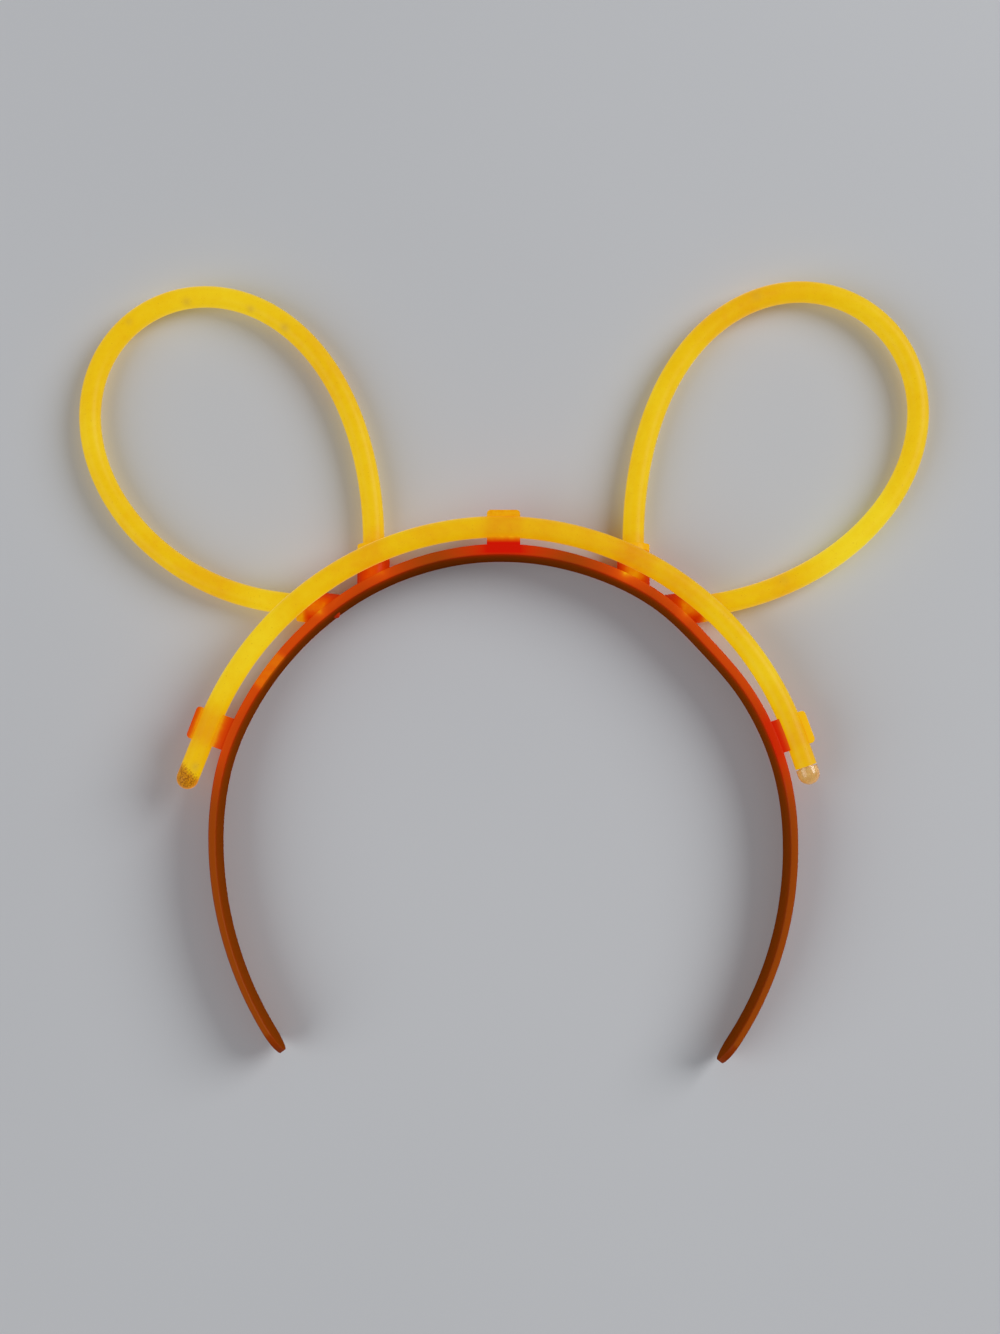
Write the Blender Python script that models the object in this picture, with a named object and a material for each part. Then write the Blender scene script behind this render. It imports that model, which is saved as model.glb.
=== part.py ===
"""Glow stick headband: a moulded band that holds three plain glow sticks.

The headband lies flat on the edge of its band. +Z is up, the way the clips open, and +Y points from the
band's tips towards the ears. Left is -X and right is +X, as seen from above. Each ear is one straight stick
bent into a loop with both feet in sockets, and the third stick follows the top of the band in three open
clips. Lengths are metres and angles degrees.
"""
import math

import bmesh
import bpy
import numpy as np
from mathutils import Matrix, Vector

# Glow sticks
STICK_DIAMETER = 0.005
ARCH_STICK_LENGTH = 0.200
EAR_STICK_LENGTH = 0.203
TUBE_WALL = 0.0005
CLOSED_END = 0.0036  # solid tip of the tube, past the liquid
PLUG_LENGTH = 0.0039  # plug that shows past the tube's open end
SPIGOT_LENGTH = 0.003  # part of the plug inside the tube

# Gap that every piece keeps to its neighbour
CLEARANCE = 0.0003

# Band: an upper half circle, then flatter legs that spread a little to the tips
BAND_RADIUS = 0.06645
LEG_RADIUS = 0.0833
LEG_SWEEP = {"left": 36.1, "right": 37.8}
BAND_WIDTH = 0.013
TIP_WIDTH = 0.012
TOP_THICKNESS = 0.0024
TIP_THICKNESS = 0.0014
EDGE_CHAMFER = 0.00035

# How far the flexed band lies inside its moulded curve, at places along it from the crown (minus is left)
BAND_FLEX = [
    (-0.160, 0.0001), (-0.100, 0.0000), (-0.086, -0.0001), (-0.072, 0.0003), (-0.058, 0.0006),
    (-0.030, 0.0005), (0.000, 0.0004), (0.020, 0.0007), (0.038, 0.0009), (0.056, 0.0018),
    (0.070, 0.0011), (0.086, 0.0005), (0.104, 0.0002), (0.130, -0.0003), (0.170, -0.0004),
]

# Stick over the top of the band, and the clips that hold it
ARCH_STANDOFF = 0.0043  # from the band's outer face to the stick's centre line
ARCH_SHIFT_X = -0.0008  # the stick sits a little to one side of the band's centre
ARCH_SHIFT_Y = -0.00044
ARCH_TURN = 0.5  # how far the stick has slid round in its clips, in degrees
FREE_ENDS = {"right": 0.0115, "left": 0.0155}  # straight ends of the stick, past its outer clips
CLIP_ANGLES = {"right": 19.6, "centre": 90.0, "left": 160.0}
CLIP_LENGTH = 0.0076
CLIP_WALL = 0.0009
CLIP_LIP_RISE = 0.0016  # from the stick's centre up to the lips
CLIP_CORNER = 0.0009

# Sockets for the ears: where each one stands on the band, which way it points and how far it reaches
SOCKETS = {
    "inner": {"band_angle": 63.0, "axis_angle": 90.0, "reach": 0.0080},
    "outer": {"band_angle": 51.7, "axis_angle": 8.0, "reach": 0.0063},
}
SOCKET_WALL = 0.00095
SOCKET_LIFT = 0.0002  # underside of the sockets above the band's lower edge
SOCKET_ROOT = 0.0075  # from the moulded curve inwards, before the band's wall trims it
BORE_DEPTH = 0.006
HEEL_RADIUS = 0.0017  # the left outer socket's end comes through to the inside of the band
HEEL_SHARE = 0.87  # how far through the band's wall the middle of that end lies

# Ears: depth of each foot in its socket, straight run past the outer socket, and the stick's lasting bends
EARS = {
    "left": {"side": -1, "tucked": 0.0042, "straight": 0.0055, "third_wave": 0.047, "fourth_wave": -0.048},
    "right": {"side": 1, "tucked": 0.0032, "straight": 0.0, "third_wave": 0.041, "fourth_wave": -0.036},
}

# Fineness of the solids
STICK_SIDES = 10
STICK_STATIONS = 38
DOME_RINGS = 3
ROUND_SIDES = 20
ARC_STATIONS = 46
LEG_STATIONS = 12
TIP_STATIONS = 5
ROD_STEPS = 400
ROD_WAVES = 5
ROD_ROUNDS = 40
ROD_FIRST_BOW = 0.25  # first guess of the second wave, in radians
LAST_STATION = 0.97  # how far round the tip the last station lies

# Sizes that follow
STICK_RADIUS = STICK_DIAMETER / 2
TUBE_BORE_RADIUS = STICK_RADIUS - TUBE_WALL
CORE_RADIUS = TUBE_BORE_RADIUS - CLEARANCE
SOCKET_BORE_RADIUS = STICK_RADIUS + CLEARANCE
SOCKET_RADIUS = SOCKET_BORE_RADIUS + SOCKET_WALL
EAR_HEIGHT = SOCKET_LIFT + SOCKET_RADIUS
ARCH_HEIGHT = EAR_HEIGHT + SOCKET_RADIUS + CLEARANCE + STICK_RADIUS
ARCH_RADIUS = BAND_RADIUS + ARCH_STANDOFF
LEG_OFFSET = LEG_RADIUS - BAND_RADIUS


def clear_scene():
    for item in list(bpy.data.objects):
        bpy.data.objects.remove(item, do_unlink=True)


def polar(radius, degrees):
    angle = math.radians(degrees)
    return np.array([radius * math.cos(angle), radius * math.sin(angle)])


def material(name, colour, roughness, transmission=0.0, glow=0.0):
    made = bpy.data.materials.new(name)
    made.use_nodes = True
    shader = made.node_tree.nodes["Principled BSDF"]
    shader.inputs["Base Color"].default_value = (*colour, 1.0)
    shader.inputs["Roughness"].default_value = roughness
    shader.inputs["Metallic"].default_value = 0.0
    shader.inputs["Transmission Weight"].default_value = transmission
    shader.inputs["Emission Color"].default_value = (*colour, 1.0)
    shader.inputs["Emission Strength"].default_value = glow
    return made


def add_object(name, mesh_builder, finish=None, smooth_angle=40.0):
    """Makes a mesh object from a bmesh, with its faces pointing out."""
    bmesh.ops.recalc_face_normals(mesh_builder, faces=mesh_builder.faces)
    mesh = bpy.data.meshes.new(name)
    mesh_builder.to_mesh(mesh)
    mesh_builder.free()
    mesh.shade_smooth()
    mesh.set_sharp_from_angle(angle=math.radians(smooth_angle))
    made = bpy.data.objects.new(name, mesh)
    bpy.context.scene.collection.objects.link(made)
    if finish is not None:
        mesh.materials.append(finish)
    return made


def add_guide(name, mesh_builder):
    """Makes a shape that only adds to or cuts another object."""
    guide = add_object(name, mesh_builder)
    guide.hide_render = True
    guide.display_type = "WIRE"
    return guide


def combine(target, guides, operation):
    """Adds guides to a target, or cuts them from it, all in one step."""
    group = bpy.data.collections.new(f"{target.name}_{operation.lower()}")
    bpy.context.scene.collection.children.link(group)
    for guide in guides:
        group.objects.link(guide)
    step = target.modifiers.new(group.name, "BOOLEAN")
    step.operation = operation
    step.solver = "EXACT"
    step.operand_type = "COLLECTION"
    step.collection = group


class Path:
    """A plane curve at one height, read by the distance along it."""

    def __init__(self, points, height):
        self.points = np.asarray(points)
        self.height = height
        steps = np.hypot(*np.diff(self.points, axis=0).T)
        self.distances = np.concatenate([[0.0], np.cumsum(steps)])
        self.length = self.distances[-1]

    def place(self, distance):
        """Centre, sideways direction and up direction at a distance; ends run on straight."""
        inside = min(max(distance, 0.0), self.length)
        x = np.interp(inside, self.distances, self.points[:, 0])
        y = np.interp(inside, self.distances, self.points[:, 1])
        after = int(np.clip(np.searchsorted(self.distances, inside), 1, len(self.points) - 1))
        along = self.points[after] - self.points[after - 1]
        along = along / np.hypot(*along)
        centre = Vector((x, y, self.height)) + Vector((*along, 0.0)) * (distance - inside)
        return centre, Vector((-along[1], along[0], 0.0)), Vector((0.0, 0.0, 1.0))


def round_along(path, profile, sides):
    """A round solid along a path from (distance, radius) pairs that start and end on the axis."""
    build = bmesh.new()
    turns = [2 * math.pi * (i + 0.5) / sides for i in range(sides)]
    rings = []
    for distance, radius in profile:
        centre, across, up = path.place(distance)
        if radius == 0.0:
            rings.append([build.verts.new(centre)] * sides)
        else:
            ring = [centre + across * radius * math.cos(t) + up * radius * math.sin(t) for t in turns]
            rings.append([build.verts.new(point) for point in ring])
    for ring, following in zip(rings, rings[1:]):
        for i in range(sides):
            j = (i + 1) % sides
            corners = dict.fromkeys([ring[i], ring[j], following[j], following[i]])
            build.faces.new(corners)
    return build


def dome(tip, shoulder, radius):
    """(distance, radius) pairs of a rounded end, from its tip to its shoulder."""
    depth = shoulder - tip
    angles = [math.pi / 2 * i / DOME_RINGS for i in range(DOME_RINGS + 1)]
    pairs = [(shoulder - depth * math.cos(a), radius * math.sin(a)) for a in angles]
    return [(tip, 0.0)] + pairs[1:]


def stations(start, end):
    return np.linspace(start, end, STICK_STATIONS)


def make_stick(name, path, finishes):
    """A tube with one closed end, the plug in its open end and the glowing liquid inside."""
    mouth = PLUG_LENGTH + CLEARANCE
    bottom = path.length - CLOSED_END
    spigot_end = mouth + SPIGOT_LENGTH
    outer = [(s, STICK_RADIUS) for s in stations(mouth, path.length - STICK_RADIUS)]
    bore = [(s, TUBE_BORE_RADIUS) for s in stations(mouth, bottom)]
    closed = dome(path.length, path.length - STICK_RADIUS, STICK_RADIUS)
    tube_profile = closed + outer[-2::-1] + bore + [(bottom, 0.0)]
    spigot = [(PLUG_LENGTH, CORE_RADIUS), (spigot_end, CORE_RADIUS), (spigot_end, 0.0)]
    plug_profile = dome(0.0, STICK_RADIUS, STICK_RADIUS) + [(PLUG_LENGTH, STICK_RADIUS)] + spigot
    core_start = spigot_end + CLEARANCE
    core_end = bottom - CLEARANCE
    core = [(s, CORE_RADIUS) for s in stations(core_start, core_end)]
    core_profile = [(core_start, 0.0)] + core + [(core_end, 0.0)]
    return [
        add_object(name + "_tube", round_along(path, tube_profile, STICK_SIDES), finishes["tube"]),
        add_object(name + "_end_plug", round_along(path, plug_profile, STICK_SIDES), finishes["plug"]),
        add_object(name + "_glow_core", round_along(path, core_profile, STICK_SIDES), finishes["core"]),
    ]


def arch_path():
    """The stick over the band: a circular arc with straight ends, a little off the band's centre."""
    half = ARCH_STICK_LENGTH / 2
    points = []
    for distance in np.linspace(-half, half, ROD_STEPS):
        bent = min(max(distance, FREE_ENDS["right"] - half), half - FREE_ENDS["left"])
        angle = 90.0 + ARCH_TURN + math.degrees(bent / ARCH_RADIUS)
        onward = polar(distance - bent, angle + 90.0)
        points.append(polar(ARCH_RADIUS, angle) + onward + (ARCH_SHIFT_X, ARCH_SHIFT_Y))
    return Path(points, ARCH_HEIGHT)


def arch_reach(degrees):
    """Distance from the band's centre to the arch stick's centre line, in one direction."""
    direction = polar(1.0, degrees)
    shift = np.array([ARCH_SHIFT_X, ARCH_SHIFT_Y])
    along = float(direction @ shift)
    return along + math.sqrt(along ** 2 - float(shift @ shift) + ARCH_RADIUS ** 2)


def socket_line(socket):
    """Base point on the band's outer face, axis direction and rim point, for the socket on the +X side."""
    base = polar(BAND_RADIUS, socket["band_angle"])
    axis = polar(1.0, socket["axis_angle"])
    return base, axis, base + axis * socket["reach"]


def integral(values):
    """Mean of each neighbouring pair, summed over a run of unit length."""
    return ((values[1:] + values[:-1]) / 2).sum(axis=0) / (len(values) - 1)


def springy_rod(start, heading, end, arrival, length, lasting):
    """Centre line of a rod of a given length that is clamped at both ends.

    The heading turns evenly from start to end, plus sine waves. The waves are the smallest, by bending
    energy, that let the rod meet its end, counted from the bends that the rod has kept.
    """
    share = np.linspace(0.0, 1.0, ROD_STEPS)
    orders = np.arange(1, ROD_WAVES + 1)
    waves = np.sin(np.pi * np.outer(share, orders))
    softness = 1.0 / orders ** 2
    kept = np.zeros(ROD_WAVES)
    kept[2], kept[3] = lasting
    turning = math.radians(heading) + math.radians(arrival - heading) * share
    size = kept + np.where(orders == 2, ROD_FIRST_BOW, 0.0)
    for _ in range(ROD_ROUNDS):
        angle = turning + waves @ size
        sine, cosine = np.sin(angle), np.cos(angle)
        reached = start + length * np.array([integral(cosine), integral(sine)])
        slopes = length * np.vstack([integral(-sine[:, None] * waves), integral(cosine[:, None] * waves)])
        wanted = (end - reached) + slopes @ (size - kept)
        size = kept + softness * (slopes.T @ np.linalg.solve((slopes * softness) @ slopes.T, wanted))
    angle = turning + waves @ size
    heading_steps = np.column_stack([np.cos(angle), np.sin(angle)])
    steps = (heading_steps[1:] + heading_steps[:-1]) / 2 * length / (ROD_STEPS - 1)
    return np.vstack([start, start + np.cumsum(steps, axis=0)])


def ear_path(ear):
    """One ear's stick: straight in each socket, and a springy loop between them."""
    _, inner_axis, inner_rim = socket_line(SOCKETS["inner"])
    _, outer_axis, outer_rim = socket_line(SOCKETS["outer"])
    inner_foot = inner_rim - inner_axis * ear["tucked"]
    outer_foot = outer_rim - outer_axis * ear["tucked"]
    loop_end = outer_rim + outer_axis * ear["straight"]
    length = EAR_STICK_LENGTH - 2 * ear["tucked"] - ear["straight"]
    heading = SOCKETS["inner"]["axis_angle"]
    arrival = SOCKETS["outer"]["axis_angle"] - 180.0
    lasting = (ear["third_wave"], ear["fourth_wave"])
    loop = springy_rod(inner_rim, heading, loop_end, arrival, length, lasting)
    points = np.vstack([outer_foot, loop[::-1], inner_foot])
    return Path(points * (ear["side"], 1.0), EAR_HEIGHT)


def flex(distance):
    """How far the band lies inside its moulded curve there: a smooth curve through the table's rows."""
    places, shifts = np.array(BAND_FLEX).T
    slopes = np.gradient(shifts, places)
    i = int(np.clip(np.searchsorted(places, distance) - 1, 0, len(places) - 2))
    span = places[i + 1] - places[i]
    t = (distance - places[i]) / span
    eased = shifts[i] + (shifts[i + 1] - shifts[i]) * t * t * (3 - 2 * t)
    return eased + span * t * (1 - t) * (slopes[i] * (1 - t) - slopes[i + 1] * t)


def band_outline():
    """Stations along the band's outer face: point, outward direction, and share of the way to that tip."""
    rows = []
    for side, name in ((1, "right"), (-1, "left")):
        arc_length = BAND_RADIUS * math.pi / 2
        leg_angle = math.radians(LEG_SWEEP[name])
        leg_length = LEG_RADIUS * leg_angle
        whole = arc_length + leg_length
        round_end = TIP_WIDTH / 2
        arc = np.linspace(0.0, arc_length, ARC_STATIONS // 2, endpoint=False)
        leg = np.linspace(arc_length, whole - round_end, LEG_STATIONS, endpoint=False)
        tip = whole - round_end * (1 - np.sin(np.linspace(0.0, LAST_STATION, TIP_STATIONS) * math.pi / 2))
        half = []
        for distance in np.concatenate([arc, leg, tip]):
            if distance <= arc_length:
                outward = polar(1.0, 90.0 - math.degrees(distance / BAND_RADIUS))
                point = outward * BAND_RADIUS
            else:
                outward = polar(1.0, -math.degrees((distance - arc_length) / LEG_RADIUS))
                point = outward * LEG_RADIUS - (LEG_OFFSET, 0.0)
            point = point - outward * flex(side * distance)
            half.append((point * (side, 1), outward * (side, 1), distance / whole, whole - distance))
        rows.append(half)
    right, left = rows
    return right[::-1] + left[1:]


def band_section(point, outward, share, to_tip):
    """Eight corners of the band's cross-section at one station."""
    thickness = TOP_THICKNESS + (TIP_THICKNESS - TOP_THICKNESS) * share
    width = BAND_WIDTH + (TIP_WIDTH - BAND_WIDTH) * share
    round_end = TIP_WIDTH / 2
    half = width / 2
    if to_tip < round_end:
        half *= math.sqrt(max(1.0 - (1.0 - to_tip / round_end) ** 2, 0.0))
    chamfer = min(EDGE_CHAMFER, thickness / 4, half / 4)
    middle = width / 2
    corners = []
    for depth, rise in (
        (0.0, half - chamfer), (chamfer, half), (thickness - chamfer, half), (thickness, half - chamfer),
        (thickness, chamfer - half), (thickness - chamfer, -half), (chamfer, -half), (0.0, chamfer - half),
    ):
        x, y = point - outward * depth
        corners.append(Vector((x, y, middle + rise)))
    return corners


def band_solid():
    build = bmesh.new()
    rings = [[build.verts.new(c) for c in band_section(*row)] for row in band_outline()]
    for ring, following in zip(rings, rings[1:]):
        for i in range(len(ring)):
            j = (i + 1) % len(ring)
            build.faces.new([ring[i], ring[j], following[j], following[i]])
    build.faces.new(rings[0])
    build.faces.new(rings[-1][::-1])
    return build


def place_on_arc(degrees):
    """The distance along the upper half circle from the crown to an angle; minus is left."""
    return BAND_RADIUS * math.radians(90.0 - degrees)


def wall_thickness(degrees):
    """The band's thickness at an angle on its upper half circle."""
    arc = abs(place_on_arc(degrees))
    name = "right" if degrees < 90.0 else "left"
    whole = BAND_RADIUS * math.pi / 2 + LEG_RADIUS * math.radians(LEG_SWEEP[name])
    return TOP_THICKNESS + (TIP_THICKNESS - TOP_THICKNESS) * arc / whole


def clip_solid(degrees):
    """A block that stands on the band and reaches round the arch stick, with rounded outer corners."""
    inside = BAND_RADIUS - flex(place_on_arc(degrees)) - wall_thickness(degrees) / 2
    outside = arch_reach(degrees) + STICK_RADIUS + CLEARANCE + CLIP_WALL
    below = ARCH_HEIGHT - STICK_RADIUS - CLEARANCE - CLIP_WALL
    above = ARCH_HEIGHT + CLIP_LIP_RISE
    size = Vector((outside - inside, CLIP_LENGTH, above - below))
    centre = Vector(((outside + inside) / 2, 0.0, (above + below) / 2))
    build = bmesh.new()
    bmesh.ops.create_cube(build, size=1.0)
    bmesh.ops.scale(build, vec=size, verts=build.verts)
    bmesh.ops.translate(build, vec=centre, verts=build.verts)
    far = [e for e in build.edges if all(abs(v.co.x - outside) < 1e-6 for v in e.verts)]
    upright = [e for e in far if abs(e.verts[0].co.z - e.verts[1].co.z) > size.z / 2]
    bmesh.ops.bevel(build, geom=upright, offset=CLIP_CORNER, segments=3, affect="EDGES", profile=0.5)
    bmesh.ops.rotate(build, matrix=Matrix.Rotation(math.radians(degrees), 3, "Z"), verts=build.verts)
    return build


def cylinder(start, end, radius, height):
    """A round bar between two plan points at one height."""
    path = Path([start, end], height)
    profile = [(0.0, 0.0), (0.0, radius), (path.length, radius), (path.length, 0.0)]
    return round_along(path, profile, ROUND_SIDES)


def inside_wall_middle():
    """The room inside the middle of the band's wall, as a solid that trims the sockets' roots."""
    build = bmesh.new()
    upper = []
    for point, outward, share, _ in band_outline():
        thickness = TOP_THICKNESS + (TIP_THICKNESS - TOP_THICKNESS) * share
        if point[1] >= 0.0:
            upper.append(point - outward * thickness / 2)
    below = build.faces.new([build.verts.new((x, y, -BAND_WIDTH)) for x, y in upper])
    pulled = bmesh.ops.extrude_face_region(build, geom=[below])
    raised = [v for v in pulled["geom"] if isinstance(v, bmesh.types.BMVert)]
    bmesh.ops.translate(build, vec=(0.0, 0.0, 3 * BAND_WIDTH), verts=raised)
    return build


def heel_solid():
    """The end of the left outer socket, whose lower corner stands out of the band's inner face."""
    socket = SOCKETS["outer"]
    base, axis, _ = socket_line(socket)
    slant = math.cos(math.radians(socket["band_angle"] - socket["axis_angle"]))
    angle = 180.0 - socket["band_angle"]
    depth = (flex(place_on_arc(angle)) + wall_thickness(angle) * HEEL_SHARE) / slant
    mirror = (-1.0, 1.0)
    return cylinder((base - axis * depth) * mirror, base * mirror, HEEL_RADIUS, EAR_HEIGHT)


def make_frame(finish):
    """The one-piece moulding: band, clips and sockets."""
    frame = add_object("headband_frame", band_solid(), finish, smooth_angle=30.0)
    channel_path = arch_path()
    sides = [(s, SOCKET_BORE_RADIUS) for s in stations(0.0, channel_path.length)]
    channel_profile = [(0.0, 0.0), *sides, (channel_path.length, 0.0)]
    channel = add_guide("clip_channel", round_along(channel_path, channel_profile, ROUND_SIDES))
    clips = [add_guide("clip_" + name, clip_solid(degrees)) for name, degrees in CLIP_ANGLES.items()]
    for clip in clips:
        combine(clip, [channel], "DIFFERENCE")
    trim = add_guide("socket_trim", inside_wall_middle())
    sockets = []
    bores = []
    for ear_name, ear in EARS.items():
        for socket_name, socket in SOCKETS.items():
            base, axis, rim = socket_line(socket)
            mirror = (ear["side"], 1.0)
            root = base - axis * SOCKET_ROOT
            bottom = rim - axis * BORE_DEPTH
            mouth = rim + axis * SOCKET_WALL
            label = f"{ear_name}_{socket_name}"
            body = cylinder(root * mirror, rim * mirror, SOCKET_RADIUS, EAR_HEIGHT)
            bore = cylinder(bottom * mirror, mouth * mirror, SOCKET_BORE_RADIUS, EAR_HEIGHT)
            sockets.append(add_guide("socket_" + label, body))
            bores.append(add_guide("bore_" + label, bore))
    for body in sockets:
        combine(body, [trim], "DIFFERENCE")
    heel = add_guide("left_heel", heel_solid())
    additions = [*clips, *sockets, heel]
    combine(frame, additions, "UNION")
    combine(frame, bores, "DIFFERENCE")
    return [frame, channel, trim, *additions, *bores]


def stand_on_origin(pieces):
    """Parents every piece to one empty and puts the origin under the middle of the headband."""
    root = bpy.data.objects.new("headband_origin", None)
    bpy.context.scene.collection.objects.link(root)
    bpy.context.view_layer.update()
    seen = bpy.context.evaluated_depsgraph_get()
    corners = []
    for piece in pieces:
        if not piece.hide_render:
            body = piece.evaluated_get(seen)
            corners += [body.matrix_world @ Vector(corner) for corner in body.bound_box]
    low = [min(corner[axis] for corner in corners) for axis in range(3)]
    high = [max(corner[axis] for corner in corners) for axis in range(3)]
    for piece in pieces:
        piece.parent = root
    root.location = (-(low[0] + high[0]) / 2, -(low[1] + high[1]) / 2, -low[2])
    bpy.context.view_layer.update()


def main():
    clear_scene()
    finishes = {
        "tube": material("stick_tube", (0.95, 0.55, 0.06), 0.35, transmission=0.4, glow=0.3),
        "core": material("glow_liquid", (1.0, 0.62, 0.02), 0.2, glow=3.0),
        "plug": material("clear_plug", (0.85, 0.62, 0.42), 0.2, transmission=0.7),
    }
    pieces = make_frame(material("orange_moulding", (0.80, 0.13, 0.01), 0.3, transmission=0.3))
    pieces += make_stick("arch", arch_path(), finishes)
    for name, ear in EARS.items():
        pieces += make_stick(name + "_ear", ear_path(ear), finishes)
    stand_on_origin(pieces)


main()
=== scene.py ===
"""Glow stick headband: the fine shapes, the finishes, the light and the camera.

The row frame: metres, +Z up, the headband flat on the edge of its band, ears towards +Y, left at -X.
Plan points below are measured from the middle of the band's upper half circle, and MIDDLE moves them into
the row frame.
"""

import math

import bmesh
import bpy
import numpy as np
from mathutils import Matrix, Vector


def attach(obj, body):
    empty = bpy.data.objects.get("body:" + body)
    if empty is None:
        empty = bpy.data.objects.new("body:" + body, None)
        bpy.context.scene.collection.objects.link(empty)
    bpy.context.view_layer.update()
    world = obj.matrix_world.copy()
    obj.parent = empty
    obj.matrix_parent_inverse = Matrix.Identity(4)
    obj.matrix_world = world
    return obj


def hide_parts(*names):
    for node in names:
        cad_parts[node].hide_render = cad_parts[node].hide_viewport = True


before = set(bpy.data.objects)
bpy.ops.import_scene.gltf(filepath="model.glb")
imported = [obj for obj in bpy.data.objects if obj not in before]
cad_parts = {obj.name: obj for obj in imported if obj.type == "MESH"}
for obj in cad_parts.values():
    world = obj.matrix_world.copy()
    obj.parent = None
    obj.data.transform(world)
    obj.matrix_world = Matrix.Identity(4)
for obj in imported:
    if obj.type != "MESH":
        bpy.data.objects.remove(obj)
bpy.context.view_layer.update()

# Middle of the band's upper half circle, in the row frame
MIDDLE = (-0.00015, -0.03914)

# Glow sticks
STICK_DIAMETER = 0.005
ARCH_STICK_LENGTH = 0.200
EAR_STICK_LENGTH = 0.203
TUBE_WALL = 0.0005
CLOSED_END = 0.0036
PLUG_LENGTH = 0.0039
SPIGOT_LENGTH = 0.003
CLEARANCE = 0.0003

# Band
BAND_RADIUS = 0.06645
LEG_RADIUS = 0.0833
LEG_SWEEP = {"left": 36.1, "right": 37.8}
BAND_WIDTH = 0.013
TIP_WIDTH = 0.012
TOP_THICKNESS = 0.0024
TIP_THICKNESS = 0.0014
EDGE_ROUND = 0.00035
EDGE_SHARE = 0.3

# How far the flexed band lies inside its moulded curve, at places along it from the crown (minus is left)
BAND_FLEX = [
    (-0.160, 0.0001), (-0.100, 0.0000), (-0.086, -0.0001), (-0.072, 0.0003), (-0.058, 0.0006),
    (-0.030, 0.0005), (0.000, 0.0004), (0.020, 0.0007), (0.038, 0.0009), (0.056, 0.0018),
    (0.070, 0.0011), (0.086, 0.0005), (0.104, 0.0002), (0.130, -0.0003), (0.170, -0.0004),
]

# Arch stick and its clips
ARCH_STANDOFF = 0.0043
ARCH_SHIFT = np.array([-0.0008, -0.00044])
ARCH_TURN = 0.5
FREE_ENDS = {"right": 0.0115, "left": 0.0155}
CLIP_ANGLES = {"right": 19.6, "centre": 90.0, "left": 160.0}
CLIP_LENGTH = 0.0076
CLIP_WALL = 0.0009
CLIP_LIP_RISE = 0.0016
CLIP_CORNER = 0.0009
CLIP_SOFTENING = 0.00015

# Sockets for the ears
SOCKETS = {
    "inner": {"band_angle": 63.0, "axis_angle": 90.0, "reach": 0.0080},
    "outer": {"band_angle": 51.7, "axis_angle": 8.0, "reach": 0.0063},
}
SOCKET_WALL = 0.00095
SOCKET_LIFT = 0.0002
SOCKET_RIM_ROUND = 0.0003
SOCKET_ROOT = 0.0075
BORE_DEPTH = 0.006
MOUTH_FLARE = 0.0002
HEEL_RADIUS = 0.0017
HEEL_ROUND = 0.0004
HEEL_SHARE = 0.87

# Ears
EARS = {
    "left": {"side": -1, "tucked": 0.0042, "straight": 0.0055, "third_wave": 0.047, "fourth_wave": -0.048},
    "right": {"side": 1, "tucked": 0.0032, "straight": 0.0, "third_wave": 0.041, "fourth_wave": -0.036},
}

# How lemon each stick glows, from amber (0) to lemon (1), at places along it from its plug
GLOW = {
    "arch": [
        (0.012, 0.35), (0.025, 0.65), (0.036, 0.62), (0.055, 0.32), (0.090, 0.28),
        (0.110, 0.42), (0.150, 0.48), (0.161, 0.85), (0.170, 0.80), (0.180, 0.50), (0.200, 0.35),
    ],
    "left": [
        (0.005, 0.60), (0.012, 0.78), (0.022, 0.32), (0.045, 0.52), (0.065, 0.62),
        (0.100, 0.50), (0.126, 0.74), (0.152, 0.36), (0.175, 0.60), (0.190, 0.55), (0.203, 0.40),
    ],
    "right": [
        (0.005, 0.45), (0.022, 0.34), (0.034, 0.95), (0.052, 0.92), (0.064, 0.60),
        (0.110, 0.60), (0.131, 0.22), (0.145, 0.42), (0.165, 0.64), (0.190, 0.58), (0.203, 0.40),
    ],
}

# How each clip glows: where the light leans (out from the band), its half width there, its strength, and
# its tint on the stick
CLIP_GLOW = {
    "right": {"lean": 0.0017, "half_width": 0.0025, "light": 1.03, "tint": 0.08, "softness": 0.0012},
    "centre": {"lean": 0.0006, "half_width": 0.0031, "light": 0.97, "tint": 0.34, "softness": 0.0026},
    "left": {"lean": -0.0002, "half_width": 0.0025, "light": 0.95, "tint": 0.36, "softness": 0.0030},
}

# How each socket glows: at its rim, and where the arch stick crosses over it; and how far in the rim glows
SOCKET_GLOW = {
    "left": {"inner": {"rim": 0.99, "crossing": 0.87}, "outer": {"rim": 0.96, "crossing": 0.93}},
    "right": {"inner": {"rim": 0.99, "crossing": 0.98}, "outer": {"rim": 0.95, "crossing": 0.95}},
}
RIM_GLOW_DEPTH = 0.0014
SOCKET_TINT = {"left": 0.20, "right": 0.28}
SOCKET_TINT_SOFTNESS = 0.0030
FOOT_TINT = 0.28

# Stretches of the band that the arch stick lights from close by
GLANCES = [
    {"angle": 139.0, "half_length": 0.0240, "light": 0.74},
    {"angle": 145.0, "half_length": 0.0040, "light": 0.88},
    {"angle": 42.0, "half_length": 0.0200, "light": 0.68},
]
GLANCE_DEPTH = 0.0030

# Places on the band where the light has gone deep red, and how much sooner the red ends towards the stick
DEEP_RED = [{"angle": 90.0, "strength": 1.0}, {"angle": 19.6, "strength": 0.7}]
DEEP_RED_REACH = 0.0042
DEEP_RED_SQUEEZE = 0.13

# Faint grey marks on the sticks: distance from the plug, turn round the stick (90 is up), size and strength
MARKS = {
    "arch": [(0.1945, 66.0, 0.0009, 0.55)],
    "left": [(0.1012, 90.0, 0.0008, 0.35), (0.1159, 127.0, 0.0010, 0.50), (0.1320, 122.0, 0.0009, 0.50),
             (0.1415, 115.0, 0.0011, 0.55)],
    "right": [(0.0215, 70.0, 0.0011, 0.25), (0.1310, 100.0, 0.0012, 0.30)],
}

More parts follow.
